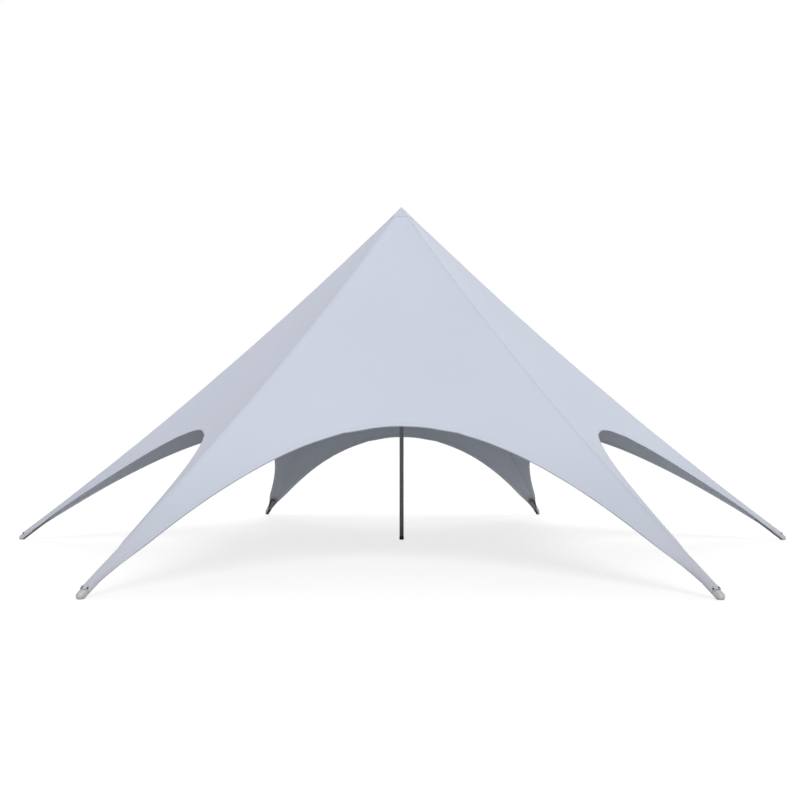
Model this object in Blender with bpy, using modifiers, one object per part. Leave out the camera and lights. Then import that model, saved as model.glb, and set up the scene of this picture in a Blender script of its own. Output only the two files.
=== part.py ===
# Single-mast star tent: one stretched canopy with six legs and six open arches around a mast.
# Metres, +Z up. The origin is the middle of the mast foot's underside, at ground level.
# Leg 1 points along +X, and the other legs follow anticlockwise, 60 degrees apart. Sector 1 is
# the arch between leg 1 and leg 2. A sector is modelled with its middle line along +X: u is the
# plan distance from the mast along that line, and v the distance to its left.

import math

import bmesh
import bpy
from mathutils import Vector

# Layout
LEG_COUNT = 6
SECTOR = math.tau / LEG_COUNT
HALF_SECTOR = SECTOR / 2
SEAT_GAP = 0.0003          # between pieces that touch

# Canopy, measured on its outer surface
FOOT_RADIUS = 7.0          # from the mast to the nose of a leg
PEAK_HEIGHT = 6.18
RIDGE_END_RADIUS = 6.95    # where the fabric of a leg ends
RIDGE_END_HEIGHT = 0.1153
RIDGE_SAG = 0.2168         # of a ridge below its straight line, halfway
ARCH_CROWN_RADIUS = 3.79
ARCH_CROWN_HEIGHT = 1.947
LEG_END_HALF_WIDTH = 0.101
FACE_DIP_POWER = 2.2       # how the slope changes from a face's middle to its ridges
FABRIC_THICKNESS = 0.006   # straight down, as all the thicknesses of soft pieces here

# Webbing sewn under the fabric
WEBBING_THICKNESS = 0.004
WEBBING_GAP = 0.0004       # straight down, which is SEAT_GAP square to the slope
STRAP_HALF_WIDTH = 0.040
STRAP_TOP_RADIUS = 0.18
HEM_WIDTH = 0.050
LEG_END_HEM = 0.010

# Peak
CAP_RADIUS = 0.24
HEAD_RADIUS = 0.11
HEAD_RIM = 0.025
SPIGOT_LENGTH = 0.12

# Mast
MAST_RADIUS = 0.038
MAST_WALL = 0.003
MAST_JOINT_HEIGHT = 3.10
COLLAR_HEIGHT = 0.012
COLLAR_RADIUS = 0.0395
MAST_FOOT_HEIGHT = 0.055
MAST_FOOT_RADIUS = 0.041
FOOT_CHAMFER = 0.005

# Leg tubes and feet
LEG_TUBE_RADIUS = 0.050
LEG_TUBE_WALL = 0.004
LEG_TUBE_LENGTH = 0.35
FOOT_LENGTH = 0.24         # along the leg, from the middle of the domed nose to the shoulder
NOSE_MIDDLE = FOOT_RADIUS - LEG_TUBE_RADIUS

# Fineness of the meshes
EDGE_STEPS = 8             # along the hem, from an arch's crown to a leg
FACE_ROWS = 8              # from the cap down to the hem
CAP_STEPS = 24
ROUND_STEPS = 24
NOSE_STEPS = 4             # on each side of the dome's outermost point

# Slopes of the canopy that follow from the sizes above
RIDGE_REACH = RIDGE_END_RADIUS * math.cos(HALF_SECTOR)
CANOPY_BOW = 4 * RIDGE_SAG / RIDGE_REACH ** 2
RIDGE_SLOPE = (PEAK_HEIGHT - RIDGE_END_HEIGHT + 4 * RIDGE_SAG) / RIDGE_REACH
FACE_DROP = PEAK_HEIGHT - ARCH_CROWN_HEIGHT
FACE_SLOPE = (FACE_DROP + CANOPY_BOW * ARCH_CROWN_RADIUS ** 2) / ARCH_CROWN_RADIUS


def canopy_height(u, v):
    """Height of the outer surface over a point of a sector."""
    across = min(1.0, abs(v) / (u * math.tan(HALF_SECTOR)))
    slope = FACE_SLOPE + (RIDGE_SLOPE - FACE_SLOPE) * across ** FACE_DIP_POWER
    return PEAK_HEIGHT - slope * u + CANOPY_BOW * u ** 2


def by_ridge(along, inward, side):
    """Plan point of a sector, from its distance along a ridge and its distance from that ridge."""
    u = along * math.cos(HALF_SECTOR) + inward * math.sin(HALF_SECTOR)
    v = along * math.sin(HALF_SECTOR) - inward * math.cos(HALF_SECTOR)
    return Vector((u, side * v))


LEG_CORNER = by_ridge(RIDGE_END_RADIUS, LEG_END_HALF_WIDTH, 1)
EDGE_CURVE = (LEG_CORNER.x - ARCH_CROWN_RADIUS) / LEG_CORNER.y ** 2


def ring_point(radius, share):
    """Plan point on a sector's side of a hexagon, share -1 and 1 being its corners."""
    return Vector((radius * math.cos(HALF_SECTOR), share * radius * math.sin(HALF_SECTOR)))


def strap_share(radius):
    """Where the strap's side crosses a hexagon's side."""
    return 1 - STRAP_HALF_WIDTH / math.cos(HALF_SECTOR) / (radius * math.sin(HALF_SECTOR))


def hem_line(share, inset):
    """Plan point of the arch's edge, or inset from it, share -1 and 1 being its ends."""
    v = share * LEG_CORNER.y
    lean = 2 * EDGE_CURVE * v
    inward = Vector((-1.0, lean)).normalized()
    return Vector((ARCH_CROWN_RADIUS + EDGE_CURVE * v ** 2, v)) + inward * inset


def ridge_column(side, inward, ring_share):
    """A column of the face that runs along a ridge: its points at the cap, the hem and the end."""
    return (
        ring_point(CAP_RADIUS, side * ring_share),
        by_ridge(RIDGE_END_RADIUS - LEG_END_HEM, inward, side),
        by_ridge(RIDGE_END_RADIUS, inward, side),
    )


def face_columns():
    """Columns of a face from its right ridge to its left one."""
    strap = strap_share(CAP_RADIUS)
    inner = strap * EDGE_STEPS / (EDGE_STEPS + 1)
    columns = [ridge_column(-1, SEAT_GAP / 2, 1.0), ridge_column(-1, STRAP_HALF_WIDTH, strap)]
    for step in range(-EDGE_STEPS, EDGE_STEPS + 1):
        share = step / EDGE_STEPS
        top = ring_point(CAP_RADIUS, share * inner)
        columns.append((top, hem_line(share, HEM_WIDTH), hem_line(share, 0.0)))
    columns += [ridge_column(1, STRAP_HALF_WIDTH, strap), ridge_column(1, SEAT_GAP / 2, 1.0)]
    return columns


COLUMNS = face_columns()


def face_point(column, row, drop=0.0):
    """A grid point of a face: rows 0 to FACE_ROWS reach the hem, and the next row is the edge."""
    top, hem, edge = COLUMNS[column]
    plan = edge if row > FACE_ROWS else top.lerp(hem, row / FACE_ROWS)
    return Vector((plan.x, plan.y, canopy_height(plan.x, plan.y) - drop))


def turned_by(point, angle):
    """The point turned about the mast."""
    x = point.x * math.cos(angle) - point.y * math.sin(angle)
    y = point.x * math.sin(angle) + point.y * math.cos(angle)
    return Vector((x, y, point.z))


def new_collection(name):
    collection = bpy.data.collections.new(name)
    bpy.context.scene.collection.children.link(collection)
    return collection


def new_material(name, colour, roughness, metallic):
    material = bpy.data.materials.new(name)
    material.use_nodes = True
    shader = material.node_tree.nodes["Principled BSDF"]
    shader.inputs["Base Color"].default_value = (*colour, 1.0)
    shader.inputs["Roughness"].default_value = roughness
    shader.inputs["Metallic"].default_value = metallic
    material.diffuse_color = (*colour, 1.0)
    return material


def new_object(name, mesh, collection, material=None, turn=0.0):
    """An object for a mesh, turned about the mast; the first object of a mesh brings its material."""
    piece = bpy.data.objects.new(name, mesh)
    piece.rotation_euler.z = turn
    collection.objects.link(piece)
    if material and not mesh.materials:
        mesh.materials.append(material)
    return piece


def mesh_from(bm, name, smooth_angle=None):
    """Closes a bmesh into a mesh with its faces pointing out."""
    bmesh.ops.recalc_face_normals(bm, faces=bm.faces[:])
    mesh = bpy.data.meshes.new(name)
    bm.to_mesh(mesh)
    bm.free()
    if smooth_angle is not None:
        mesh.shade_smooth()
        mesh.set_sharp_from_angle(angle=smooth_angle)
    return mesh


def thicken_down(bm, thickness):
    """Gives an open sheet its thickness straight down, so that its sides stay upright."""
    sheet = bmesh.ops.extrude_face_region(bm, geom=bm.faces[:])
    moved = [item for item in sheet["geom"] if isinstance(item, bmesh.types.BMVert)]
    bmesh.ops.translate(bm, verts=moved, vec=(0.0, 0.0, -thickness))


def grid_sheet(name, columns, rows, place, thickness):
    """A sheet over a grid: place gives each grid point, and like cells get like diagonals."""
    bm = bmesh.new()
    bmesh.ops.create_grid(bm, x_segments=columns, y_segments=rows, size=1.0)
    for vert in bm.verts:
        column = round((vert.co.x + 1) / 2 * columns)
        row = round((vert.co.y + 1) / 2 * rows)
        vert.co = place(column, row)
    bmesh.ops.triangulate(bm, faces=bm.faces[:], quad_method="FIXED")
    thicken_down(bm, thickness)
    return mesh_from(bm, name, smooth_angle=math.radians(30))


def turned_object(name, outline, collection, material, closed=False):
    """A turned piece: the outline, in (radius, height), runs down the outer side."""
    mesh = bpy.data.meshes.new(name)
    points = [(radius, 0.0, height) for radius, height in outline]
    edges = [(i, i + 1) for i in range(len(points) - 1)]
    if closed:
        edges.append((len(points) - 1, 0))
    mesh.from_pydata(points, edges, [])
    piece = new_object(name, mesh, collection, material)
    screw = piece.modifiers.new("Turn", "SCREW")
    screw.axis = "Z"
    screw.steps = screw.render_steps = ROUND_STEPS
    screw.use_smooth_shade = True
    screw.use_merge_vertices = True
    screw.merge_threshold = 0.00001
    return piece


def tube_object(name, outer, wall, bottom, top, collection, material):
    inner = outer - wall
    outline = [(outer, top), (outer, bottom), (inner, bottom), (inner, top)]
    return turned_object(name, outline, collection, material, closed=True)


def make_canopy_panels(collection, material):
    last = len(COLUMNS) - 1

    def place(column, row):
        point = face_point(column, row)
        if row == 0:
            point.x += SEAT_GAP
        return point

    mesh = grid_sheet("canopy_panel", last, FACE_ROWS + 1, place, FABRIC_THICKNESS)
    for number in range(1, LEG_COUNT + 1):
        turn = (number - 0.5) * SECTOR
        new_object(f"canopy_panel_{number}", mesh, collection, material, turn)


def make_peak_cap(collection, material):
    """The pointed reinforcement that closes the peak, in one surface with the faces."""
    bm = bmesh.new()
    bmesh.ops.create_circle(bm, cap_ends=True, cap_tris=True, segments=CAP_STEPS, radius=1.0)
    for vert in bm.verts:
        if vert.co.length < 0.5:
            vert.co = (0.0, 0.0, PEAK_HEIGHT)
            continue
        azimuth = math.atan2(vert.co.y, vert.co.x)
        sector = math.floor(azimuth / SECTOR + 1e-6)
        middle = (sector + 0.5) * SECTOR
        share = math.tan(azimuth - middle) / math.tan(HALF_SECTOR)
        plan = ring_point(CAP_RADIUS, share)
        point = Vector((plan.x, plan.y, canopy_height(plan.x, plan.y)))
        vert.co = turned_by(point, middle)
    thicken_down(bm, FABRIC_THICKNESS)
    new_object("peak_cap", mesh_from(bm, "peak_cap"), collection, material)


def make_ridge_straps(collection, material):
    """Webbing folded over each ridge's inner side, from under the cap to the end of the leg."""
    drop = FABRIC_THICKNESS + WEBBING_GAP
    right_side = len(COLUMNS) - 2
    top_share = strap_share(STRAP_TOP_RADIUS)

    def place(column, row):
        if column == 1:
            if row == 0:
                along = STRAP_TOP_RADIUS
            elif row > FACE_ROWS + 1:
                along = RIDGE_END_RADIUS
            else:
                along = ridge_row_radius(row - 1)
            return Vector((along, 0.0, ridge_height(along) - drop))
        turn = -HALF_SECTOR if column == 0 else HALF_SECTOR
        if row == 0:
            plan = ring_point(STRAP_TOP_RADIUS, top_share if column == 0 else -top_share)
            point = Vector((plan.x, plan.y, canopy_height(plan.x, plan.y) - drop))
        else:
            point = face_point(right_side if column == 0 else 1, row - 1, drop)
        return turned_by(point, turn)

    mesh = grid_sheet("ridge_strap", 2, FACE_ROWS + 2, place, WEBBING_THICKNESS)
    for number in range(1, LEG_COUNT + 1):
        new_object(f"ridge_strap_{number}", mesh, collection, material, (number - 1) * SECTOR)


def make_edge_belts(collection, material):
    """Webbing under the hem of each arch, from leg to leg."""
    drop = FABRIC_THICKNESS + WEBBING_GAP

    def place(column, row):
        return face_point(column + 2, FACE_ROWS + row, drop)

    mesh = grid_sheet("edge_belt", 2 * EDGE_STEPS, 1, place, WEBBING_THICKNESS)
    for number in range(1, LEG_COUNT + 1):
        turn = (number - 0.5) * SECTOR
        new_object(f"edge_belt_{number}", mesh, collection, material, turn)


def ridge_height(along):
    return canopy_height(along * math.cos(HALF_SECTOR), along * math.sin(HALF_SECTOR))


def ridge_row_radius(row):
    return CAP_RADIUS + (RIDGE_END_RADIUS - LEG_END_HEM - CAP_RADIUS) * row / FACE_ROWS


def make_mast(collection, metal, rubber):
    spigot = MAST_RADIUS - MAST_WALL - SEAT_GAP
    turned_object("mast_foot", [
        (0.0, MAST_FOOT_HEIGHT + SPIGOT_LENGTH),
        (spigot, MAST_FOOT_HEIGHT + SPIGOT_LENGTH),
        (spigot, MAST_FOOT_HEIGHT),
        (MAST_FOOT_RADIUS, MAST_FOOT_HEIGHT),
        (MAST_FOOT_RADIUS, FOOT_CHAMFER),
        (MAST_FOOT_RADIUS - FOOT_CHAMFER, 0.0),
        (0.0, 0.0),
    ], collection, rubber)
    tube_object("mast_lower_tube", MAST_RADIUS, MAST_WALL,
                MAST_FOOT_HEIGHT + SEAT_GAP, MAST_JOINT_HEIGHT, collection, metal)

    collar_bottom = MAST_JOINT_HEIGHT + SEAT_GAP
    collar_top = collar_bottom + COLLAR_HEIGHT
    turned_object("mast_joint", [
        (0.0, collar_top + SPIGOT_LENGTH),
        (spigot, collar_top + SPIGOT_LENGTH),
        (spigot, collar_top),
        (COLLAR_RADIUS, collar_top),
        (COLLAR_RADIUS, collar_bottom),
        (spigot, collar_bottom),
        (spigot, collar_bottom - SPIGOT_LENGTH),
        (0.0, collar_bottom - SPIGOT_LENGTH),
    ], collection, metal)

    cap_middle = CAP_RADIUS * math.cos(HALF_SECTOR)
    cap_slope = (PEAK_HEIGHT - canopy_height(cap_middle, 0.0)) / cap_middle
    head_top = PEAK_HEIGHT - FABRIC_THICKNESS - WEBBING_GAP
    rim_top = head_top - cap_slope * HEAD_RADIUS
    rim_bottom = rim_top - HEAD_RIM
    tube_object("mast_upper_tube", MAST_RADIUS, MAST_WALL,
                collar_top + SEAT_GAP, rim_bottom - SEAT_GAP, collection, metal)
    turned_object("mast_head", [
        (0.0, head_top),
        (HEAD_RADIUS, rim_top),
        (HEAD_RADIUS, rim_bottom),
        (spigot, rim_bottom),
        (spigot, rim_bottom - SPIGOT_LENGTH),
        (0.0, rim_bottom - SPIGOT_LENGTH),
    ], collection, metal)


def leg_axis():
    """A leg's axis in the plane of leg 1: where it passes NOSE_MIDDLE, and its pitch.

    The tube lies along the last straight stretch of the strap, in the fold between its sides.
    """
    upper = ridge_row_radius(FACE_ROWS - 1)
    lower = ridge_row_radius(FACE_ROWS)
    fall = (ridge_height(upper) - ridge_height(lower)) / (lower - upper)
    pitch = math.atan(fall)
    side = by_ridge(lower, STRAP_HALF_WIDTH, 1)
    side_fall = (ridge_height(lower) - canopy_height(side.x, side.y)) / STRAP_HALF_WIDTH
    fold = math.atan(1 / (side_fall * math.cos(pitch)))
    depth = (LEG_TUBE_RADIUS / math.sin(fold) + SEAT_GAP) / math.cos(pitch)
    drop = FABRIC_THICKNESS + WEBBING_GAP + WEBBING_THICKNESS + depth
    height = ridge_height(lower) - drop - fall * (NOSE_MIDDLE - lower)
    return height, pitch


def nose_outline(pitch):
    """The domed nose of a foot, with a ring at its outermost point on a leg of this pitch."""
    quarter = math.pi / 2
    angles = [quarter - (quarter - pitch) * step / NOSE_STEPS for step in range(NOSE_STEPS)]
    angles += [pitch * (1 - step / NOSE_STEPS) for step in range(NOSE_STEPS + 1)]
    return [(LEG_TUBE_RADIUS * math.sin(angle), -LEG_TUBE_RADIUS * math.cos(angle))
            for angle in angles]


def make_legs(collection, cutters, metal, foot_metal):
    """The tube in each leg, and the foot that closes its lower end and stands on the ground."""
    height, pitch = leg_axis()
    lean = math.pi / 2 - pitch
    nose = Vector((NOSE_MIDDLE, 0.0, height))
    spigot = LEG_TUBE_RADIUS - LEG_TUBE_WALL - SEAT_GAP

    foot = turned_object("foot_blank", [
        (0.0, FOOT_LENGTH + SPIGOT_LENGTH),
        (spigot, FOOT_LENGTH + SPIGOT_LENGTH),
        (spigot, FOOT_LENGTH),
        (LEG_TUBE_RADIUS, FOOT_LENGTH),
    ] + nose_outline(pitch), collection, foot_metal)
    foot.rotation_euler.y = -lean
    foot.location = nose

    bpy.ops.mesh.primitive_cube_add(size=1.0)
    room = bpy.context.object
    room.name = "foot_room"
    for owner in list(room.users_collection):
        owner.objects.unlink(room)
    cutters.objects.link(room)
    room.data.transform(room.matrix_world)
    room.scale = (1.0, 1.0, 1.0)
    room.location = (NOSE_MIDDLE, 0.0, 0.5)
    room.hide_render = True
    room.display_type = "WIRE"

    trim = foot.modifiers.new("Trim", "BOOLEAN")
    trim.operation = "INTERSECT"
    trim.solver = "EXACT"
    trim.object = room
    bpy.context.view_layer.update()
    graph = bpy.context.evaluated_depsgraph_get()
    foot_mesh = bpy.data.meshes.new_from_object(foot.evaluated_get(graph))
    foot_mesh.transform(foot.matrix_world)
    foot_mesh.name = "leg_foot"
    bpy.data.objects.remove(foot)

    inner = LEG_TUBE_RADIUS - LEG_TUBE_WALL
    start = FOOT_LENGTH + SEAT_GAP
    outline = [
        (LEG_TUBE_RADIUS, start + LEG_TUBE_LENGTH),
        (LEG_TUBE_RADIUS, start),
        (inner, start),
        (inner, start + LEG_TUBE_LENGTH),
    ]
    for number in range(1, LEG_COUNT + 1):
        turn = (number - 1) * SECTOR
        new_object(f"leg_foot_{number}", foot_mesh, collection, foot_metal, turn)
        tube = turned_object(f"leg_tube_{number}", outline, collection, metal, closed=True)
        tube.rotation_euler = (0.0, -lean, turn)
        tube.location = turned_by(nose, turn)


def main():
    for piece in list(bpy.data.objects):
        bpy.data.objects.remove(piece)
    tent = new_collection("star_tent")
    cutters = new_collection("cutters")
    fabric = new_material("white_fabric", (0.62, 0.65, 0.73), 0.75, 0.0)
    webbing = new_material("grey_webbing", (0.30, 0.31, 0.34), 0.85, 0.0)
    mast_metal = new_material("dark_mast_metal", (0.10, 0.105, 0.105), 0.45, 0.8)
    leg_metal = new_material("grey_leg_metal", (0.33, 0.33, 0.33), 0.45, 0.8)
    rubber = new_material("black_foot", (0.03, 0.03, 0.03), 0.7, 0.0)
    make_mast(tent, mast_metal, rubber)
    make_canopy_panels(tent, fabric)
    make_peak_cap(tent, fabric)
    make_ridge_straps(tent, webbing)
    make_edge_belts(tent, webbing)
    make_legs(tent, cutters, mast_metal, leg_metal)


main()
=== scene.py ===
import math

import bmesh
import bpy
from mathutils import Matrix, Vector, noise


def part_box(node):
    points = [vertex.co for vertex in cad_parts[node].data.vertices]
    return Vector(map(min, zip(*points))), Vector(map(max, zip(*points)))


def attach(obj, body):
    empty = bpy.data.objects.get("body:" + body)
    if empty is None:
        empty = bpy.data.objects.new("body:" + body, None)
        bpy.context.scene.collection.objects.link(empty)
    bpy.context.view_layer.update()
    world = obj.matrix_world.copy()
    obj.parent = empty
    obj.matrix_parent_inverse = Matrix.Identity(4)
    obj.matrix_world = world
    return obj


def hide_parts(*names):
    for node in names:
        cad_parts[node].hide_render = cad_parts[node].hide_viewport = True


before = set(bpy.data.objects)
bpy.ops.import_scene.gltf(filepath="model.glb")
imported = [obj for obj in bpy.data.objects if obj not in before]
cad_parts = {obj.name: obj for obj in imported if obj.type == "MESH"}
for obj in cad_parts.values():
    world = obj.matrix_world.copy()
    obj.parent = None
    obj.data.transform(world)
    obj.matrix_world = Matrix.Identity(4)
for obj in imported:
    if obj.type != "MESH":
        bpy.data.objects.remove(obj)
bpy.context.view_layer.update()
print("frame loaded with", len(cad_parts), "nodes")

# The tent's shape, as the frame has it. Leg 1 points along +X, and the others follow every 60
# degrees. A sector is one arch, with its middle line along +X: u is the plan distance from the
# mast along that line, and v the distance to its left. Beside a ridge, along and away are the
# plan distances from the mast along the ridge and square to it.
tent = {
    "legs": 6,
    "peakHeight": 6.18,
    "ridgeEndRadius": 6.95,
    "ridgeEndHeight": 0.1153,
    "ridgeSag": 0.2168,
    "crownRadius": 3.79,
    "crownHeight": 1.947,
    "legEndHalfWidth": 0.101,
    "dipPower": 2.2,
    "seatFrom": 6.1025,     # the ridge is straight from here to seatTo, over the leg's tube
    "seatTo": 6.94,
    "seatDrop": 0.0022,     # how far the cloth settles onto the tube
}
legCount = tent["legs"]
halfSector = math.pi / legCount
ridgeCos, ridgeSin = math.cos(halfSector), math.sin(halfSector)
ridgeReach = tent["ridgeEndRadius"] * ridgeCos
canopyBow = 4 * tent["ridgeSag"] / ridgeReach ** 2
ridgeSlope = (tent["peakHeight"] - tent["ridgeEndHeight"] + 4 * tent["ridgeSag"]) / ridgeReach
faceSlope = ((tent["peakHeight"] - tent["crownHeight"]) / tent["crownRadius"]
             + canopyBow * tent["crownRadius"])


def smoothStep(low, high, value):
    t = min(1.0, max(0.0, (value - low) / (high - low)))
    return t * t * (3 - 2 * t)


def hump(value, middle, halfWidth):
    t = abs(value - middle) / halfWidth
    return (1 - t * t) ** 2 if t < 1 else 0.0


def canopyHeight(u, v):
    across = min(1.0, abs(v) / max(u * math.tan(halfSector), 1e-9))
    slope = faceSlope + (ridgeSlope - faceSlope) * across ** tent["dipPower"]
    return tent["peakHeight"] - slope * u + canopyBow * u ** 2


def sheetHeight(u, v):  # the canopy as it lies on the legs' tubes
    along = u * ridgeCos + abs(v) * ridgeSin
    start, end = tent["seatFrom"], tent["seatTo"]
    straight = canopyBow * ridgeCos ** 2 * max(0.0, along - start) * max(0.0, end - along)
    return canopyHeight(u, v) + straight - tent["seatDrop"] * smoothStep(start, start + 0.3, along)


def besideRidge(along, away):  # plan point of a sector's left half
    return Vector((along * ridgeCos + away * ridgeSin, along * ridgeSin - away * ridgeCos))


def ridgeHeight(along, away):
    return sheetHeight(*besideRidge(along, abs(away)))


def turnedBy(point, turn):
    return Matrix.Rotation(turn, 3, "Z") @ Vector(point)


legCorner = besideRidge(tent["ridgeEndRadius"], tent["legEndHalfWidth"])
edgeCurve = (legCorner.x - tent["crownRadius"]) / legCorner.y ** 2

leg = {
    "noseMiddle": 6.95,         # from the mast to the middle of the foot's dome
    "tubeRadius": 0.050,
    "wall": 0.004,
    "tubeLength": 0.35,
    "footLength": 0.24,
    "sideAway": 0.040,          # where the fold's fall is measured
    "clothDepth": 0.0104,       # from the cloth's outside to the tube, straight down
    "gap": 0.0003,
    "bevel": 0.0012,
    "bolts": (-0.052, 0.0, 0.052),
    "boltAlong": 6.932,
    "washer": 0.0115,
    "washerThick": 0.0016,
    "boltHeight": 0.006,
    "boltShare": 0.6,           # of the washer's radius
    "bareWithin": 0.9,          # of the wall's thickness from the outside
}
sleeve = {                      # how the cloth wraps a leg's tube
    "from": 6.15,               # along the ridge
    "to": 6.95,
    "top": 0.0600,              # from the tube's axis
    "radius": 0.0575,           # at least
    "slack": 2.25,              # how the radius grows with the cloth's width up the leg
    "hemTurn": 2.0,             # from the ridge round to the hem, in radians
    "cutBack": 0.25,            # how much further up the leg the cloth ends at its sides
}


def legAxis():  # height and pitch of the axis of leg 1, where it passes noseMiddle
    start, end = tent["seatFrom"], tent["seatTo"]
    ridgeLow = canopyHeight(*besideRidge(end, 0))
    fall = (canopyHeight(*besideRidge(start, 0)) - ridgeLow) / (end - start)
    pitch = math.atan(fall)
    sideFall = (ridgeLow - canopyHeight(*besideRidge(end, leg["sideAway"]))) / leg["sideAway"]
    fold = math.atan(1 / (sideFall * math.cos(pitch)))
    depth = (leg["tubeRadius"] / math.sin(fold) + leg["gap"]) / math.cos(pitch)
    return ridgeLow - leg["clothDepth"] - depth - fall * (leg["noseMiddle"] - end), pitch


axisHeight, axisPitch = legAxis()
axisCos, axisSin = math.cos(axisPitch), math.sin(axisPitch)
legPlace = (Matrix.Translation((leg["noseMiddle"], 0, axisHeight))  # for what is built up the Z axis
            @ Matrix.Rotation(axisPitch - math.pi / 2, 4, "Y"))


def besideAxis(along, height):  # distances of a point in leg 1's plane: down the axis, and above it
    out, up = along - leg["noseMiddle"], height - axisHeight
    return out * axisCos - up * axisSin, out * axisSin + up * axisCos


def hemAway(along):
    bend = 2 * edgeCurve * ridgeCos
    reach = along - tent["crownRadius"] * ridgeCos
    v = (math.sqrt(ridgeSin ** 2 + 2 * bend * reach) - ridgeSin) / bend
    return (tent["crownRadius"] + edgeCurve * v ** 2) * ridgeSin - v * ridgeCos


def foldLength(along, away):  # from the ridge down its side, square to the tube
    return math.hypot(away, besideAxis(along, ridgeHeight(along, 0))[1]
                      - besideAxis(along, ridgeHeight(along, away))[1])


def legPoint(along, away, depth=0.0):
    # A point of leg 1's cloth, depth below its outside. Near its end the cloth bends round the tube.
    plain = Vector((along, away, ridgeHeight(along, away) - depth))
    share = smoothStep(sleeve["from"], sleeve["to"], along)
    if not share:
        return plain
    side, whole = foldLength(along, away), foldLength(along, hemAway(along))
    radius = max(sleeve["radius"], whole / sleeve["slack"])
    turn = math.copysign(side / whole * sleeve["hemTurn"], away)
    down = besideAxis(along, ridgeHeight(along, 0))[0] - sleeve["cutBack"] * side
    up = sleeve["top"] - radius + (radius - depth) * math.cos(turn)
    wrapped = Vector((leg["noseMiddle"] + down * axisCos + up * axisSin,
                      (radius - depth) * math.sin(turn),
                      axisHeight - down * axisSin + up * axisCos))
    return plain.lerp(wrapped, share)


def clothAt(plan, depth=0.0):  # the same for a plan point of a sector, anywhere on the canopy
    along = plan.x * ridgeCos + abs(plan.y) * ridgeSin
    if along <= sleeve["from"]:
        return Vector((plan.x, plan.y, sheetHeight(plan.x, plan.y) - depth))
    point = legPoint(along, plan.x * ridgeSin - abs(plan.y) * ridgeCos, depth)
    point = turnedBy((point.x, -point.y, point.z), halfSector)
    return Vector((point.x, math.copysign(point.y, plan.y), point.z))


# Meshes
def newPiece(name, bm, materials, slot, stands=(), sharpAngle=35, thickness=0.0):
    mesh = bpy.data.meshes.new(name)
    bm.to_mesh(mesh)
    bm.free()
    for material in materials:
        mesh.materials.append(material)
    mesh.shade_smooth()
    piece = bpy.data.objects.new(name, mesh)
    bpy.context.scene.collection.objects.link(piece)
    if thickness:
        shell = piece.modifiers.new("thickness", "SOLIDIFY")
        shell.thickness = thickness
        shell.offset = -1.0
        shell.use_even_offset = True
        if len(materials) > 1:
            shell.material_offset = 1
            shell.material_offset_rim = len(materials) - 1
        bpy.context.view_layer.update()
        graph = bpy.context.evaluated_depsgraph_get()
        solid = bpy.data.meshes.new_from_object(piece.evaluated_get(graph))
        piece.modifiers.clear()
        piece.data = solid
        bpy.data.meshes.remove(mesh)
        solid.name = name
    piece.data.set_sharp_from_angle(angle=math.radians(sharpAngle))
    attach(piece, "root")
    if stands:
        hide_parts(*stands)
    return piece


def faceUp(bm):
    bmesh.ops.recalc_face_normals(bm, faces=bm.faces[:])
    if sum(face.normal.z * face.calc_area() for face in bm.faces) < 0:
        bmesh.ops.reverse_faces(bm, faces=bm.faces[:])


def gridSheet(columns, rows, place, maps):
    # A grid whose points go where place says. maps gives each UV map its value at a grid point.
    bm = bmesh.new()
    bmesh.ops.create_grid(bm, x_segments=columns, y_segments=rows, size=1.0)
    spots = {vert: (round((vert.co.x + 1) / 2 * columns), round((vert.co.y + 1) / 2 * rows))
             for vert in bm.verts}
    for name, value in maps.items():
        layer = bm.loops.layers.uv.new(name)
        for face in bm.faces:
            for loop in face.loops:
                loop[layer].uv = value(*spots[loop.vert])
    for vert, spot in spots.items():
        vert.co = place(*spot)
    return bm


def starSheet(columns, rows, place, maps, peak):
    # Half a sector is mirrored, turned round the mast and closed at the peak, as one sheet.
    bm = gridSheet(columns, rows, place, maps)
    bmesh.ops.mirror(bm, geom=bm.verts[:] + bm.edges[:] + bm.faces[:], axis="Y", merge_dist=1e-5)
    bmesh.ops.rotate(bm, verts=bm.verts[:], matrix=Matrix.Rotation(halfSector, 3, "Z"))
    bmesh.ops.spin(bm, geom=bm.verts[:] + bm.edges[:] + bm.faces[:], cent=(0, 0, 0), axis=(0, 0, 1),
                   angle=2 * halfSector * (legCount - 1), steps=legCount - 1, use_duplicate=True)
    bmesh.ops.remove_doubles(bm, verts=bm.verts[:], dist=2e-5)
    faceUp(bm)
    reach = min(vert.co.xy.length for vert in bm.verts)
    ring = [edge for edge in bm.edges if edge.is_boundary
            and all(vert.co.xy.length < reach * 1.4 for vert in edge.verts)]
    inner = bmesh.ops.extrude_edge_only(bm, edges=ring)["geom"]
    bmesh.ops.pointmerge(bm, verts=[item for item in inner if isinstance(item, bmesh.types.BMVert)],
                         merge_co=(0, 0, peak))
    faceUp(bm)
    return bm


def bevelSharp(bm, width, segments=2, angle=30):
    bm.normal_update()
    edges = [edge for edge in bm.edges if len(edge.link_faces) == 2
             and edge.calc_face_angle() > math.radians(angle)]
    bmesh.ops.bevel(bm, geom=edges, offset=width, offset_type="OFFSET", affect="EDGES",
                    segments=segments, profile=0.5, material=-1, clamp_overlap=True)


def wrapMap(bm, radius):
    # A map in metres round and along a turned piece, made before it is placed.
    layer = bm.loops.layers.uv.new("round")
    for face in bm.faces:
        centre = face.calc_center_median()
        middle = math.atan2(centre.y, centre.x)
        for loop in face.loops:
            turn = math.atan2(loop.vert.co.y, loop.vert.co.x) - middle
            turn = (turn + math.pi) % math.tau - math.pi
            loop[layer].uv = ((middle + turn) * radius, loop.vert.co.z)


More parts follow.
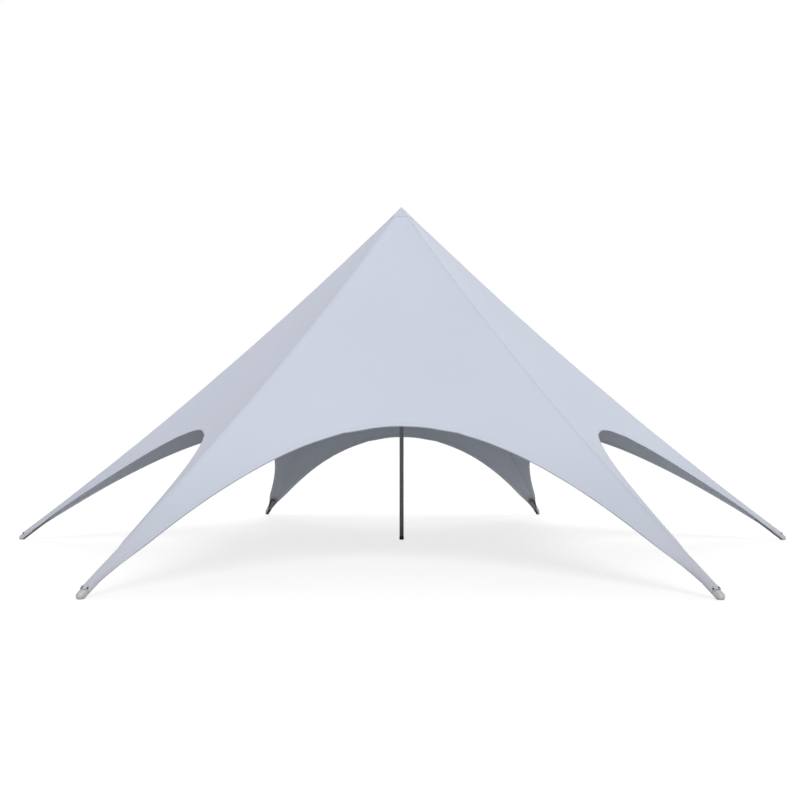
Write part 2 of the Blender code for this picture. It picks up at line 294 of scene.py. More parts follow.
def turned(outline, steps=48, closed=False, bevel=0.001, segments=2):
    # outline is in (radius, height)
    bm = bmesh.new()
    points = [bm.verts.new((radius, 0, height)) for radius, height in outline]
    edges = [bm.edges.new(pair) for pair in zip(points, points[1:])]
    if closed:
        edges.append(bm.edges.new((points[-1], points[0])))
    bmesh.ops.spin(bm, geom=points + edges, cent=(0, 0, 0), axis=(0, 0, 1), angle=math.tau,
                   steps=steps, use_merge=True)
    bmesh.ops.remove_doubles(bm, verts=bm.verts[:], dist=1e-6)
    bmesh.ops.recalc_face_normals(bm, faces=bm.faces[:])
    if bevel:
        bevelSharp(bm, bevel, segments)
    wrapMap(bm, max(radius for radius, height in outline))
    return bm


# Shader maths
class Wire:  # an output socket that takes part in sums
    def __init__(self, maker, socket):
        self.maker, self.socket = maker, socket

    def __add__(self, other):
        return self.maker.sum("ADD", self, other)

    def __sub__(self, other):
        return self.maker.sum("SUBTRACT", self, other)

    def __rsub__(self, other):
        return self.maker.sum("SUBTRACT", other, self)

    def __mul__(self, other):
        return self.maker.sum("MULTIPLY", self, other)

    def __truediv__(self, other):
        return self.maker.sum("DIVIDE", self, other)

    def __lt__(self, other):
        return self.maker.sum("LESS_THAN", self, other)

    __radd__ = __add__
    __rmul__ = __mul__


class Finish:  # the nodes of a material or of the world
    def __init__(self, owner, fixed=None):
        owner.use_nodes = True
        self.owner = owner
        self.nodes, self.links = owner.node_tree.nodes, owner.node_tree.links
        self.surface = self.nodes.get("Principled BSDF") or self.nodes["Background"]
        for socket, value in (fixed or {}).items():
            self.surface.inputs[socket].default_value = value

    def node(self, kind, settings=None, inputs=None, output=0):
        made = self.nodes.new("ShaderNode" + kind)
        for key, value in (settings or {}).items():
            setattr(made, key, value)
        for key, value in (inputs or {}).items():
            self.feed(made.inputs[key], value)
        if output == "all":
            return [Wire(self, socket) for socket in made.outputs]
        return Wire(self, made.outputs[output])

    def feed(self, socket, value):
        if isinstance(value, Wire):
            self.links.new(value.socket, socket)
        else:
            socket.default_value = value

    def sum(self, operation, *values):
        return self.node("Math", {"operation": operation}, dict(enumerate(values)))

    def clamp(self, value):
        return self.node("Clamp", {}, {0: value})

    def mapRange(self, value, low, high, first=0.0, last=1.0):
        return self.node("MapRange", {"interpolation_type": "SMOOTHSTEP"},
                         {0: value, 1: low, 2: high, 3: first, 4: last})

    def mix(self, share, first, second):
        return self.node("Mix", {"data_type": "RGBA"}, {0: share, 6: first, 7: second}, 2)

    def vector(self, x, y, z=0.0):
        return self.node("CombineXYZ", {}, {0: x, 1: y, 2: z})

    def split(self, vector):
        return self.node("SeparateXYZ", {}, {0: vector}, "all")

    def place(self):
        return self.node("TexCoord", {}, {}, "Object")

    def uv(self, name):
        return self.node("UVMap", {"uv_map": name})

    def noise(self, vector, scale, detail=2.0, roughness=0.5):
        return self.node("TexNoise", {}, {"Vector": vector, "Scale": scale, "Detail": detail,
                                          "Roughness": roughness})

    def bump(self, height, distance, strength=1.0, below=None):
        inputs = {"Height": height, "Distance": distance, "Strength": strength}
        if below:
            inputs["Normal"] = below
        return self.node("Bump", {}, inputs)

    def stitches(self, along, away, at, length=0.006, width=0.0011):
        row = self.sum("COMPARE", away, at, width)
        return row * (self.sum("FRACT", along / length) < 0.7)

    def stitchPair(self, along, away, places):
        return self.stitches(along, away, places[0]) + self.stitches(along, away, places[1])

    def finish(self, outputs):
        for key, value in outputs.items():
            self.feed(self.surface.inputs[key], value)
        return self.owner


def newLook(name, fixed=None):
    return Finish(bpy.data.materials.new(name), fixed)


def colour(red, green, blue):
    return (red, green, blue, 1.0)


def shade(base, factor):
    return colour(*[min(1.0, channel * factor) for channel in base[:3]])


clothLook = {
    "outside": colour(0.60, 0.635, 0.735),
    # painted shade: the cloth's inside is given a darker colour than its outside
    "insidePaintedShade": colour(0.385, 0.41, 0.463),
    "patch": colour(0.585, 0.615, 0.70),
    "dust": colour(0.42, 0.41, 0.40),
    "thread": colour(0.50, 0.52, 0.58),
    # darker threads of the weave, painted shade in the grooves, and the marks at the steps and hem's
    # edge
    "grimeAndPaintedShade": colour(0.30, 0.31, 0.33),
    "threadPitch": 0.0011,
    "roughness": 0.68,
    "sheen": 0.03,
    "ridgeStitches": (0.0185, 0.0375),  # rows of stitches, from the ridge
    "hemStitches": (0.0065, 0.0445),    # and from the hem
    "grooveAt": 0.0125,                 # painted shade in a groove beside the welt
    "grooveWidth": 0.004,
    "ridgeStep": 0.0405,                # where the doubled cloth ends
    "hemStep": 0.0500,
    "stepWidth": 0.0012,
    "edgeFrom": 0.003,                  # a darker band along the hem's edge
    "edgeTo": 0.013,
    "dustFrom": 0.08,                   # heights
    "dustTo": 0.8,
    # the cloth is darker towards the ground, between these heights
    "lowDarkeningFrom": 0.3,
    "lowDarkeningTo": 1.95,
    "lowDarkening": 0.86,
}


def clothMaterial(name, base, grimeAndPaintedShade=1.0):
    # Coated plain weave: broad and fine unevenness, rows of stitches beside the ridges and hems,
    # painted shade in the grooves beside the welts, a slight darkening where the doubled cloth ends,
    # a darker band along the hem's edge, darker towards the ground, and dust that thins out upwards
    # from the ground.
    look = newLook(name, {"Sheen Weight": clothLook["sheen"], "Sheen Roughness": 0.5,
                          "Specular IOR Level": 0.2})
    place = look.place()
    height = look.split(place)[2]
    threadX, threadY, _ = look.split(look.uv("cloth"))
    ridgeAlong, ridgeAway, _ = look.split(look.uv("ridge"))
    hemAlong, hemAway, _ = look.split(look.uv("hem"))

    turns = math.tau / clothLook["threadPitch"]
    weave = look.sum("SINE", threadX * turns) * look.sum("SINE", threadY * turns)
    broad = look.noise(place, 0.55, 3.0)
    fine = look.noise(place, 9.0, 4.0, 0.6)
    stitches = look.clamp(look.stitchPair(ridgeAlong, ridgeAway, clothLook["ridgeStitches"])
                          + look.stitchPair(hemAlong, hemAway, clothLook["hemStitches"]))
    # painted shade in the groove beside the welt
    fromGroove = look.sum("ABSOLUTE", ridgeAway - clothLook["grooveAt"])
    grooveShade = look.mapRange(fromGroove, 0.0, clothLook["grooveWidth"], 1.0, 0.0)
    step = (look.sum("COMPARE", ridgeAway, clothLook["ridgeStep"], clothLook["stepWidth"])
            + look.sum("COMPARE", hemAway, clothLook["hemStep"], clothLook["stepWidth"]))
    patchy = look.mapRange(look.noise(place, 3.5, 2.0), 0.30, 0.62, 0.5, 1.0)
    hemEdgeBand = look.mapRange(hemAway, clothLook["edgeFrom"], clothLook["edgeTo"], 1.0, 0.0) * patchy
    low = look.mapRange(height, clothLook["dustFrom"], clothLook["dustTo"], 1.0, 0.0)
    lowDarkening = look.mapRange(height, clothLook["lowDarkeningFrom"], clothLook["lowDarkeningTo"], 1.0, 0.0)
    dust = look.clamp(low * low * (0.10 + 0.55 * fine) + look.mapRange(fine, 0.62, 0.9) * 0.05)

    tone = look.mix(look.mapRange(broad, 0.3, 0.7) * 0.5, base, shade(base, 0.955))
    tone = look.mix(look.mapRange(fine, 0.35, 0.75) * 0.35, tone, shade(base, 1.025))
    # darker towards the ground
    tone = look.mix(lowDarkening, tone, shade(base, clothLook["lowDarkening"]))
    tone = look.mix(weave * 0.02 + 0.02, tone, clothLook["grimeAndPaintedShade"])
    tone = look.mix(dust * grimeAndPaintedShade, tone, clothLook["dust"])
    # painted shade in the groove, a slight darkening at the steps and a darker band along the hem's
    # edge
    grooveShadeStepAndHemEdge = look.clamp(grooveShade * 0.30 + step * 0.05 + hemEdgeBand * 0.80)
    tone = look.mix(grooveShadeStepAndHemEdge * grimeAndPaintedShade, tone, clothLook["grimeAndPaintedShade"])
    tone = look.mix(stitches * 0.6, tone, clothLook["thread"])

    wrinkles = look.noise(place, 2.4, 3.0, 0.55)
    normal = look.bump(wrinkles, 0.006, 0.35)
    normal = look.bump(weave, 0.00012, 0.6, normal)
    normal = look.bump(stitches - step * 0.4, 0.0006, 0.6, normal)
    rough = clothLook["roughness"] + fine * 0.10 + dust * 0.2
    return look.finish({"Base Color": tone, "Roughness": rough, "Normal": normal})


webbingLook = {
    "rib": 0.0026,
    "roughness": 0.8,
    "stitchAt": 0.033,
    "thread": colour(0.42, 0.44, 0.50),
}


def webbingMaterial(name, light, dark):
    # Woven tape: cross ribs, a twill down each half, long threads, and a row of stitches each side.
    look = newLook(name, {"Specular IOR Level": 0.25, "Sheen Weight": 0.1})
    across, along, _ = look.split(look.uv("tape"))
    turns = math.tau / webbingLook["rib"]
    ribs = look.sum("SINE", along * turns)
    zigzag = look.sum("PINGPONG", across, 0.005) * 2.0
    twill = look.sum("SINE", (along + zigzag) * (turns / 2))
    threads = look.sum("SINE", across * (math.tau / 0.0016))
    worn = look.noise(look.place(), 14.0, 4.0, 0.6)
    stitch = look.stitches(along, look.sum("ABSOLUTE", across), webbingLook["stitchAt"])
    tone = look.mix(look.clamp(twill * 0.25 + worn * 0.6), light, dark)
    tone = look.mix(stitch * 0.6, tone, webbingLook["thread"])
    height = ribs * 0.4 + twill * 0.5 + threads * 0.2 + stitch
    return look.finish({"Base Color": tone, "Roughness": webbingLook["roughness"] - worn * 0.1,
                        "Normal": look.bump(height, 0.0004, 0.8)})


def metalMaterial(name, base, worn, roughness, metallic, soil=None, shadeUnderAxis=None):
    # A drawn tube's long streaks, fine scratches, a matt bloom, soil near the ground, and painted
    # shade in another colour on what lies far enough under a leg's axis.
    look = newLook(name, {"Specular IOR Level": 0.5})
    place = look.place()
    around, along, _ = look.split(look.uv("round"))
    streaks = look.noise(look.vector(around * 90.0, along * 0.9), 1.0, 4.0, 0.6)
    scratches = look.noise(look.vector(around * 30.0, along * 260.0, 3.0), 1.0, 3.0, 0.7)
    bloom = look.noise(place, 6.0, 4.0, 0.6)
    rub = look.mapRange(scratches, 0.68, 0.8) * 0.5
    tone = look.mix(look.mapRange(bloom, 0.3, 0.75) * 0.6, base, worn)
    tone = look.mix(look.mapRange(streaks, 0.35, 0.7) * 0.3, tone, worn)
    tone = look.mix(rub, tone, shade(worn, 1.8))
    rough = roughness + bloom * 0.16 - rub * 0.12
    if soil:
        height = look.split(place)[2]
        stain = look.mapRange(height, soil["from"], soil["to"], 1.0, 0.0) * (0.35 + bloom)
        stain = look.clamp(stain * soil["share"])
        tone = look.mix(stain, tone, soil["colour"])
        rough = rough + stain * 0.25
    # painted shade: near black below the leg's axis
    if shadeUnderAxis:
        placeX, placeY, height = look.split(place)
        reach = look.sum("SQRT", placeX * placeX + placeY * placeY)
        above = height - axisHeight + (reach - leg["noseMiddle"]) * math.tan(axisPitch)
        below = look.mapRange(above, -shadeUnderAxis["to"], -shadeUnderAxis["from"], 1.0, 0.0)
        tone = look.mix(below, tone, shadeUnderAxis["colour"])
    normal = look.bump(streaks * 0.6 + scratches * 0.25, 0.0003, 0.5)
    return look.finish({"Base Color": tone, "Roughness": rough, "Metallic": metallic - rub * 0.1,
                        "Normal": normal})


def rubberMaterial(name):
    look = newLook(name, {"Specular IOR Level": 0.4})
    place = look.place()
    grain = look.noise(place, 420.0, 3.0, 0.6)
    dust = look.noise(place, 18.0, 4.0, 0.6)
    tone = look.mix(look.mapRange(dust, 0.4, 0.75) * 0.5, colour(0.018, 0.018, 0.018),
                    colour(0.075, 0.07, 0.065))
    return look.finish({"Base Color": tone, "Roughness": 0.62 + dust * 0.25,
                        "Normal": look.bump(grain, 0.0005, 0.5)})


outsideCloth = clothMaterial("outsideCloth", clothLook["outside"])
# the inside's darker colour is painted shade
insideClothPaintedShade = clothMaterial("insideClothPaintedShade", clothLook["insidePaintedShade"], 0.6)
patchCloth = clothMaterial("patchCloth", clothLook["patch"])
ridgeWebbingLook = webbingMaterial("ridgeWebbing", light=colour(0.39, 0.415, 0.465),
                                   dark=colour(0.34, 0.365, 0.41))
hemWebbingLook = webbingMaterial("hemWebbing", light=colour(0.40, 0.43, 0.48),
                                 dark=colour(0.33, 0.355, 0.40))
mastMetal = metalMaterial(
    "mastMetal", base=colour(0.200, 0.203, 0.201), worn=colour(0.260, 0.263, 0.259),
    roughness=0.50, metallic=0.15,
    soil={"from": 0.05, "to": 0.30, "share": 0.75, "colour": colour(0.12, 0.08, 0.07)})
legMetal = metalMaterial(
    "legMetal", base=colour(0.15, 0.153, 0.150), worn=colour(0.20, 0.20, 0.195),
    roughness=0.5, metallic=0.3,
    soil={"from": 0.05, "to": 0.4, "share": 0.5, "colour": colour(0.10, 0.096, 0.084)})
footMetal = metalMaterial(
    "footMetal", base=colour(0.48, 0.485, 0.49), worn=colour(0.56, 0.56, 0.56),
    roughness=0.5, metallic=0.3,
    soil={"from": 0.0, "to": 0.03, "share": 0.4, "colour": colour(0.20, 0.195, 0.18)},
    # painted shade, near black, on the foot below the leg's axis
    shadeUnderAxis={"from": 0.036, "to": 0.048, "colour": colour(0.035, 0.035, 0.034)})
bareMetal = metalMaterial("bareMetal", base=colour(0.62, 0.62, 0.61), worn=colour(0.70, 0.70, 0.69),
                          roughness=0.55, metallic=0.2)
boltSteel = metalMaterial("boltSteel", base=colour(0.07, 0.07, 0.07), worn=colour(0.12, 0.12, 0.118),
                          roughness=0.42, metallic=0.7)
footRubber = rubberMaterial("footRubber")
print("materials made")

# The canopy, one continuous stretched sheet
canopySheet = {
    "thickness": 0.0014,
    "topRadius": 0.17,          # the rows start here, under the peak patch
    "rows": 82,
    "fanColumns": 32,
    "ridgeColumns": (0.0, 0.006, 0.012, 0.018, 0.029, 0.0395, 0.0415),
    "weltHeight": 0.0050,
    "weltHalfWidth": 0.018,
    "seamRise": 0.0004,
    "seamWidth": 0.0400,
    "seamFrom": 0.24,           # the welt and seam rise from here, along the ridge
    "seamTo": 0.55,
    "hemInsets": (0.0505, 0.0485, 0.038, 0.026, 0.014, 0.003, 0.0),
    "hemRise": 0.0010,
    "tuckAt": 0.78,             # where the hem is drawn in, from an arch's middle
    "tuckDepth": 0.007,
    "tuckHalfWidth": 0.10,
    "easeBefore": 0.24,         # between the tuck and the middle it is let out again
    "easeShare": 0.8,
    "easeHalfWidth": 0.20,
    "fanEase": 0.3,             # how much closer the columns lie near the leg
    "rowEase": 0.25,            # and the rows near the hem
    "topShare": 0.94,
    "slopeLength": 1.35,        # of a metre of plan along a ridge, for the maps
}
ridgeColumns = canopySheet["ridgeColumns"]
columnCount = len(ridgeColumns) + canopySheet["fanColumns"]
hemInsets = canopySheet["hemInsets"]
rowCount = canopySheet["rows"] + len(hemInsets) - 1


def hemPoint(share, inset):  # share is 1 at the leg's corner and 0 at the arch's crown
    v = share * legCorner.y
    side = abs(v)
    tuckAt = canopySheet["tuckAt"]
    easeAt = tuckAt - canopySheet["easeBefore"]
    tuck = canopySheet["tuckDepth"] * (
        hump(side, tuckAt, canopySheet["tuckHalfWidth"])
        - canopySheet["easeShare"] * hump(side, easeAt, canopySheet["easeHalfWidth"]))
    lean = 2 * edgeCurve * v
    inward = Vector((-1.0, lean)).normalized()
    return Vector((tent["crownRadius"] + edgeCurve * v ** 2 - tuck, v)) + inward * inset


def fanShare(column):  # from 1 to 0, closer together near the leg
    t = column / canopySheet["fanColumns"]
    ease = canopySheet["fanEase"]
    return 1 - t * (1 - ease + ease * t)


def topPoint(column):
    u = canopySheet["topRadius"] * ridgeCos
    if column < len(ridgeColumns):
        return Vector((u, (u * ridgeSin - ridgeColumns[column]) / ridgeCos))
    last = (u * ridgeSin - ridgeColumns[-1]) / ridgeCos
    return Vector((u, last * fanShare(column - len(ridgeColumns)) * canopySheet["topShare"]))


def lowPoint(column, inset):
    if column < len(ridgeColumns):
        return besideRidge(tent["ridgeEndRadius"] - inset, ridgeColumns[column])
    return hemPoint(fanShare(column - len(ridgeColumns)), inset)


def planPoint(column, row):
    hemRow = row - canopySheet["rows"]
    if hemRow > 0:
        return lowPoint(column, hemInsets[hemRow])
    share = row / canopySheet["rows"]
    ease = canopySheet["rowEase"]
    return topPoint(column).lerp(lowPoint(column, hemInsets[0]), share * (1 + ease - ease * share))


ripples = {
    "from": 0.3,            # they grow between these distances from the mast
    "full": 1.1,
    "fadeFrom": 5.8,        # and end between these
    "fadeTo": 6.35,
    "pucker": 0.0042,       # heights
    "swell": 0.007,
    "puckerScale": 3.1,     # how many to a metre
    "swellScale": 0.55,
    "fineScale": 1.3,
    "puckerReach": 0.16,    # to each side of a ridge
}


def ripple(x, y):
    # Small unevenness of the stretched cloth: puckers along the ridges, soft swells between.
    radius = math.hypot(x, y)
    turn = math.atan2(y, x)
    ridge = round(turn / (2 * halfSector))
    off = turn - ridge * 2 * halfSector
    along, away = radius * math.cos(off), abs(radius * math.sin(off))
    ends = (smoothStep(ripples["from"], ripples["full"], radius)
            * (1 - smoothStep(ripples["fadeFrom"], ripples["fadeTo"], radius)))
    pucker = (noise.noise(Vector((along * ripples["puckerScale"], ridge * 7.3, 0.4)))
              * math.exp(-away / ripples["puckerReach"]))
    swellScale, fineScale = ripples["swellScale"], ripples["fineScale"]
    swell = (noise.noise(Vector((x * swellScale, y * swellScale, 2.7)))
             + 0.5 * noise.noise(Vector((x * fineScale, y * fineScale, 5.1))))
    return ends * (ripples["pucker"] * pucker + ripples["swell"] * swell)


def clothPoint(column, row):
    plan = planPoint(column, row)
    away = plan.x * ridgeSin - plan.y * ridgeCos
    along = plan.x * ridgeCos + plan.y * ridgeSin
    fade = smoothStep(canopySheet["seamFrom"], canopySheet["seamTo"], along)
    rise = canopySheet["weltHeight"] * hump(away, 0.0, canopySheet["weltHalfWidth"]) * fade
    if away < canopySheet["seamWidth"]:
        rise += canopySheet["seamRise"] * fade
    if row > canopySheet["rows"]:
        rise += canopySheet["hemRise"]
    return clothAt(plan, -rise)


edgeLength = [0.0]  # along the hem from a leg's ridge to the crown, for the stitches
for column in range(columnCount):
    step = clothPoint(column + 1, rowCount) - clothPoint(column, rowCount)
    edgeLength.append(edgeLength[-1] + step.length)


def clothMap(column, row):
    plan = planPoint(column, row)
    return plan.y, math.hypot(plan.x, tent["peakHeight"] - sheetHeight(plan.x, plan.y))


def ridgeMap(column, row):
    plan = planPoint(column, row)
    along = plan.x * ridgeCos + plan.y * ridgeSin
    return along * canopySheet["slopeLength"], plan.x * ridgeSin - plan.y * ridgeCos


def hemMap(column, row):
    hemRow = row - canopySheet["rows"]
    if hemRow >= 0:
        return edgeLength[column], hemInsets[hemRow]
    away = (planPoint(column, row) - lowPoint(column, hemInsets[0])).length
    return edgeLength[column], hemInsets[0] + away


clothMaps = {"cloth": clothMap, "ridge": ridgeMap, "hem": hemMap}
bm = starSheet(columnCount, rowCount, clothPoint, clothMaps, tent["peakHeight"])
for vert in bm.verts:
    vert.co.z += ripple(vert.co.x, vert.co.y)
flatArea = sum(face.calc_area() for face in bm.faces)
canopy = newPiece("canopy", bm, [outsideCloth, insideClothPaintedShade, insideClothPaintedShade], "canopy_fabric",
                  [f"canopy_panel_{number}" for number in range(1, legCount + 1)],
                  sharpAngle=60, thickness=canopySheet["thickness"])
print("canopy made,", round(flatArea, 2), "square metres of cloth")

# The patch that doubles the cloth at the peak
peakPatch = {
    "radius": 0.24,
    "inner": 0.012,
    "lift": 0.0022,
    "thickness": 0.0016,
    "rows": 10,
    "columns": 8,
    "plainAway": 0.3,       # its ridge map stays this far from every seam
    "slopeLength": 1.3,     # of a metre of plan down a face, for the maps
}


def patchPoint(column, row):
    reach = peakPatch["radius"] - peakPatch["inner"]
    radius = peakPatch["inner"] + reach * row / peakPatch["rows"]
    u = radius * ridgeCos
    v = radius * ridgeSin * (1 - column / peakPatch["columns"])
    return Vector((u, v, canopyHeight(u, v) + peakPatch["lift"]))


def patchWeave(column, row):
    point = patchPoint(column, row)
    return point.y, point.z


def patchRidge(column, row):
    return patchPoint(column, row).xy.length * canopySheet["slopeLength"], peakPatch["plainAway"]


def patchHem(column, row):
    fromHem = (1 - row / peakPatch["rows"]) * peakPatch["radius"] * peakPatch["slopeLength"]
    return patchPoint(column, row).y, fromHem


patchMaps = {"cloth": patchWeave, "ridge": patchRidge, "hem": patchHem}
bm = starSheet(peakPatch["columns"], peakPatch["rows"], patchPoint, patchMaps,
               tent["peakHeight"] + peakPatch["lift"])
patch = newPiece("peakPatch", bm, [patchCloth], "canopy_fabric", ["peak_cap"],
                 sharpAngle=50, thickness=peakPatch["thickness"])

# Webbing under the ridges and hems
ridgeTape = {
    "halfWidth": 0.040,
    "top": 0.20,            # where it starts, from the mast
    "endInset": 0.001,
    "columns": 8,
    "drop": 0.0034,         # from the cloth's outside
    "thickness": 0.0024,
}
hemTape = {
    "width": 0.0505,
    "proud": 0.0006,
    "drop": 0.0030,
    "thickness": 0.0020,
    "columns": 4,
    "halfLength": 4.6,      # along the hem, for the map
}


def makeRidgeTape(turn):
    rows = canopySheet["rows"]
    reach = tent["ridgeEndRadius"] - ridgeTape["endInset"] - ridgeTape["top"]

    def spot(column, row):
        return (ridgeTape["top"] + reach * row / rows,
                ridgeTape["halfWidth"] * (2 * column / ridgeTape["columns"] - 1))

    def place(column, row):
        along, away = spot(column, row)
        point = turnedBy(legPoint(along, away, ridgeTape["drop"]), turn)
        point.z += ripple(point.x, point.y)
        return point

    def tapeMap(column, row):
        along, away = spot(column, row)
        return away, along * canopySheet["slopeLength"]

    bm = gridSheet(ridgeTape["columns"], rows, place, {"tape": tapeMap})
    faceUp(bm)
    return bm


def makeHemTape(turn):
    fan = canopySheet["fanColumns"]
    across = hemTape["columns"]

    def spot(column, row):
        share = fanShare(column) if column <= fan else -fanShare(2 * fan - column)
        return share, hemTape["width"] - (hemTape["width"] + hemTape["proud"]) * row / across

    def place(column, row):
        point = turnedBy(clothAt(hemPoint(*spot(column, row)), hemTape["drop"]), turn)
        point.z += ripple(point.x, point.y)
        return point

    def tapeMap(column, row):
        share, inset = spot(column, row)
        return inset - hemTape["width"] / 2, share * hemTape["halfLength"]

    bm = gridSheet(2 * fan, across, place, {"tape": tapeMap})
    faceUp(bm)
    return bm


for number in range(1, legCount + 1):
    newPiece(f"ridgeWebbing_{number}", makeRidgeTape(2 * halfSector * (number - 1)),
                          [ridgeWebbingLook], "webbing", [f"ridge_strap_{number}"],
                          thickness=ridgeTape["thickness"])
    newPiece(f"hemWebbing_{number}", makeHemTape(2 * halfSector * (number - 0.5)),
                          [hemWebbingLook], "webbing", [f"edge_belt_{number}"],
                          thickness=hemTape["thickness"])
print("webbing made")

# Cut along one ridge and laid flat, the canopy is a fan of six faces.
ridgeLength = sum(math.hypot(step, ridgeHeight(radius, 0) - ridgeHeight(radius + step, 0))
                  for step in [tent["ridgeEndRadius"] / 50]
                  for radius in [step * index for index in range(50)])
faceAngle = 2 * math.asin(tent["ridgeEndRadius"] * ridgeSin / ridgeLength)
round(2 * ridgeLength * math.sin(2 * faceAngle), 2)
round(ridgeLength * (1 - math.cos(3 * faceAngle)), 2)

# The mast
mast = {
    "radius": 0.038,
    "wall": 0.003,
    "jointHeight": 3.10,
    "collarHeight": 0.012,
    "collarRadius": 0.0395,
    "footHeight": 0.055,
    "footRadius": 0.041,
    "footRings": (0.018, 0.036),
    "ringDepth": 0.0012,
    "headRadius": 0.11,
    "headNose": 0.016,
    "headSteepness": 1.03,      # against the canopy's faces
    "headEdge": 0.003,
    "gap": 0.0003,
    "steps": 64,                # round each piece
    "tubeBevel": 0.0006,
}


def tubeOutline(radius, wall, low, high):
    return [(radius, high), (radius, low), (radius - wall, low), (radius - wall, high)]


def makeMastFoot():
    radius = mast["footRadius"]
    outline = [(0.0, 0.0), (radius - 0.004, 0.0), (radius, 0.004)]
    for ring in mast["footRings"]:
        outline += [(radius, ring - 0.002), (radius - mast["ringDepth"], ring), (radius, ring + 0.002)]
    outline += [(radius, mast["footHeight"]), (0.0, mast["footHeight"])]
    return turned(outline, mast["steps"], bevel=0.0008)


def makeMastHead():
    # A dome on a short rim, so that the cloth isn't cut at the peak.
    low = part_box("mast_upper_tube")[1].z + mast["gap"]
    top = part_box("mast_head")[1].z
    fall = faceSlope * mast["headSteepness"]
    radius, nose, edge = mast["headRadius"], mast["headNose"], mast["headEdge"]
    rimTop = top - fall * radius
    outline = [(0.0, low), (radius - edge, low), (radius, low + edge), (radius, rimTop),
               (0.045, top - fall * 0.045), (nose, top - fall * nose), (0.006, top - 0.009),
               (0.0, top - 0.0075)]
    return turned(outline, mast["steps"], bevel=0.0010)


collarLow = mast["jointHeight"] + mast["gap"]
collarHigh = collarLow + mast["collarHeight"]
collar = [(0.0, collarLow), (mast["collarRadius"], collarLow), (mast["collarRadius"], collarHigh),
          (0.0, collarHigh)]


def makeMastTube(low, high):
    outline = tubeOutline(mast["radius"], mast["wall"], low, high)
    return turned(outline, mast["steps"], True, mast["tubeBevel"])


lowerTube = makeMastTube(mast["footHeight"] + mast["gap"], mast["jointHeight"])
upperTube = makeMastTube(collarHigh + mast["gap"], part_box("mast_upper_tube")[1].z)
newPiece("mastFoot", makeMastFoot(), [footRubber], "foot_rubber", ["mast_foot"])
newPiece("mastLowerTube", lowerTube, [mastMetal], "mast_tube", ["mast_lower_tube"])
newPiece("mastJoint", turned(collar, mast["steps"]), [mastMetal], "mast_tube", ["mast_joint"])
newPiece("mastUpperTube", upperTube, [mastMetal], "mast_tube", ["mast_upper_tube"])
newPiece("mastHead", makeMastHead(), [mastMetal], "mast_tube", ["mast_head"])
print("mast made")

# The leg tubes, the feet and the bolts that hold the cloth to them
def makeFoot():  # a domed tube, cut flat where it stands
    radius = leg["tubeRadius"]
    dome = [(radius * math.sin(angle), -radius * math.cos(angle))
            for angle in [math.pi / 2 * step / 14 for step in range(14, -1, -1)]]
    bm = turned([(0.0, leg["footLength"]), (radius, leg["footLength"])] + dome, 64, bevel=0)
    bmesh.ops.transform(bm, matrix=legPlace, verts=bm.verts[:])
    cut = bmesh.ops.bisect_plane(bm, geom=bm.verts[:] + bm.edges[:] + bm.faces[:], dist=1e-6,
                                 plane_co=(0, 0, 0), plane_no=(0, 0, -1), clear_outer=True)["geom_cut"]
    bmesh.ops.contextual_create(bm, geom=[item for item in cut if isinstance(item, bmesh.types.BMEdge)])
    bmesh.ops.recalc_face_normals(bm, faces=bm.faces[:])
    bevelSharp(bm, leg["bevel"], 3, 25)
    for vert in bm.verts:
        vert.co.z = max(0.0, vert.co.z)
    return bm


def makeBolt(across, thick):
    # A washer with a hexagon head on it, standing on the ground plane.
    bm = bmesh.new()
    washer, head = leg["washerThick"], across * leg["boltShare"]
    bmesh.ops.create_cone(bm, cap_ends=True, segments=32, radius1=across, radius2=across,
                          depth=washer, matrix=Matrix.Translation((0, 0, washer / 2)))
    head = bmesh.ops.create_cone(bm, cap_ends=True, segments=6, radius1=head, radius2=head, depth=thick,
                                 matrix=Matrix.Translation((0, 0, washer + thick / 2)))["verts"]
    top = [vert for vert in head if vert.co.z > thick * 0.9]
    bmesh.ops.scale(bm, vec=(0.93, 0.93, 1), verts=top)
    bevelSharp(bm, 0.0005, 2, 50)
    wrapMap(bm, across)
    return bm


def onCloth(along, away):
    # Where a bolt stands on the leg's cloth, and which way it points.
    here = legPoint(along, away)
    ahead, beside = legPoint(along + 0.01, away) - here, legPoint(along, away + 0.01) - here
    normal = ahead.cross(beside).normalized()
    welt = canopySheet["weltHeight"] * hump(away, 0.0, canopySheet["weltHalfWidth"])
    return (Matrix.Translation(here + normal * (leg["washerThick"] + welt))
            @ normal.to_track_quat("Z", "Y").to_matrix().to_4x4())


def makeBolts():
    whole = bmesh.new()
    whole.loops.layers.uv.new("round")
    for away in leg["bolts"]:
        bolt = makeBolt(leg["washer"], leg["boltHeight"])
        bmesh.ops.transform(bolt, matrix=onCloth(leg["boltAlong"], away), verts=bolt.verts[:])
        mesh = bpy.data.meshes.new("bolt")
        bolt.to_mesh(mesh)
        bolt.free()
        whole.from_mesh(mesh)
        bpy.data.meshes.remove(mesh)
    return whole


def makeLegTube():  # coated outside and bare inside
    start = leg["footLength"] + leg["gap"]
    bm = turned(tubeOutline(leg["tubeRadius"], leg["wall"], start, start + leg["tubeLength"]), 48, True)
    inner = leg["tubeRadius"] - leg["wall"] * leg["bareWithin"]
    for face in bm.faces:
        face.material_index = int(face.calc_center_median().xy.length < inner)
    bmesh.ops.transform(bm, matrix=legPlace, verts=bm.verts[:])
    return bm


legPieces = (
    ("legTube", makeLegTube, [legMetal, bareMetal], "leg_tube", "leg_tube"),
    ("legFoot", makeFoot, [footMetal], "leg_foot", "leg_foot"),
    ("legBolts", makeBolts, [boltSteel], "leg_foot", None),
)
for number in range(1, legCount + 1):
    spin = Matrix.Rotation(2 * halfSector * (number - 1), 4, "Z")
    for name, make, metals, slot, node in legPieces:
        bm = make()
        bmesh.ops.transform(bm, matrix=spin, verts=bm.verts[:])
        newPiece(f"{name}_{number}", bm, metals, slot, [f"{node}_{number}"] if node else ())
print("legs made")

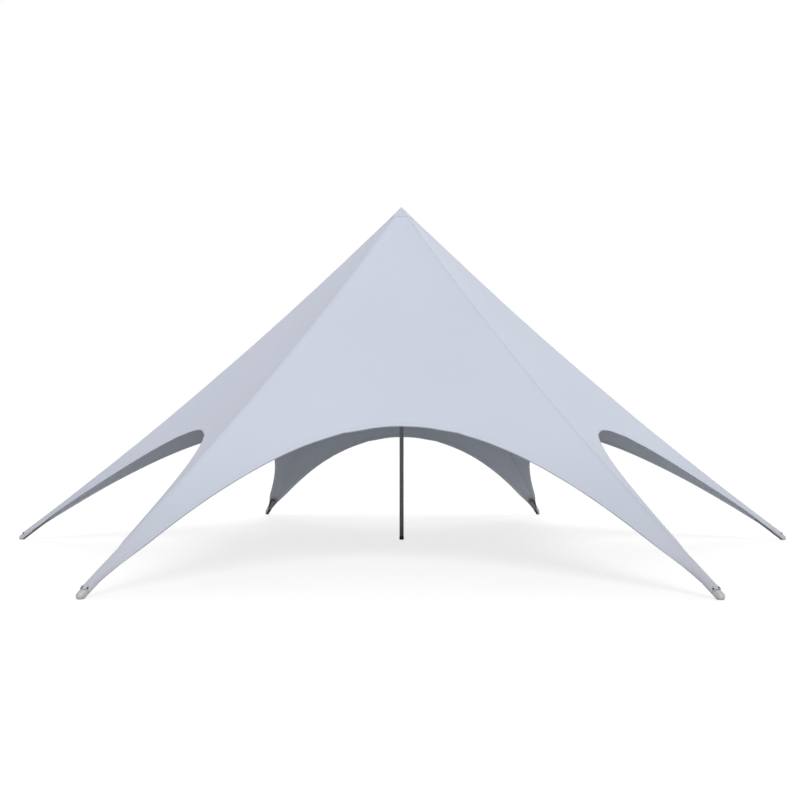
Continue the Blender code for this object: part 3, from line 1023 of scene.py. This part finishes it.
# Floor, light and camera
studio = {
    "floorHalf": 400.0,
    "floorTone": colour(0.90, 0.90, 0.90),
    "floorGlow": 1.08,
    "glowShare": 0.70,
    "sky": 0.45,
}
suns = {
    "keyLight": {"power": 1.60, "angle": 34, "from": (0.18, -0.76, 0.76)},
    "backLight": {"power": 1.15, "angle": 40, "from": (0.05, 0.77, 0.64)},
}
bm = bmesh.new()
bmesh.ops.create_grid(bm, x_segments=1, y_segments=1, size=studio["floorHalf"])
floorMesh = bpy.data.meshes.new("floor")
bm.to_mesh(floorMesh)
bm.free()
floor = bpy.data.objects.new("floor", floorMesh)
bpy.context.scene.collection.objects.link(floor)
floorLook = newLook("paleFloor", {"Roughness": 0.9, "Specular IOR Level": 0.0,
                                  "Base Color": studio["floorTone"]})
seen = floorLook.node("LightPath")
glow = floorLook.node("Emission", {}, {"Color": colour(1, 1, 1), "Strength": studio["floorGlow"]})
body = Wire(floorLook, floorLook.surface.outputs[0])
blend = floorLook.node("MixShader", {}, {0: seen * studio["glowShare"], 1: body, 2: glow})
floorLook.feed(floorLook.nodes["Material Output"].inputs["Surface"], blend)
floorMesh.materials.append(floorLook.owner)

world = bpy.data.worlds.new("studio")
bpy.context.scene.world = world
air = Finish(world, {"Color": colour(1, 1, 1)})
air.finish({"Strength": studio["sky"] + air.node("LightPath") * (1 - studio["sky"])})

for name, values in suns.items():
    sun = bpy.data.lights.new(name, "SUN")
    sun.energy = values["power"]
    sun.angle = math.radians(values["angle"])
    sunObject = bpy.data.objects.new(name, sun)
    sunObject.rotation_euler = Vector(values["from"]).to_track_quat("Z", "Y").to_euler()
    bpy.context.scene.collection.objects.link(sunObject)

view = {"place": (0.050, -14.949, 1.595), "yaw": 0.0053, "pitch": 0.0641, "lens": 36.5, "sensor": 36.0}
lens = bpy.data.cameras.new("camera")
lens.sensor_width = view["sensor"]
lens.lens = view["lens"]
lens.clip_end = 2000
camera = bpy.data.objects.new("camera", lens)
camera.location = view["place"]
camera.rotation_euler = (math.pi / 2 + view["pitch"], 0, view["yaw"])
bpy.context.scene.collection.objects.link(camera)
bpy.context.scene.camera = camera
bpy.context.scene.view_settings.view_transform = "Standard"
print("studio made")
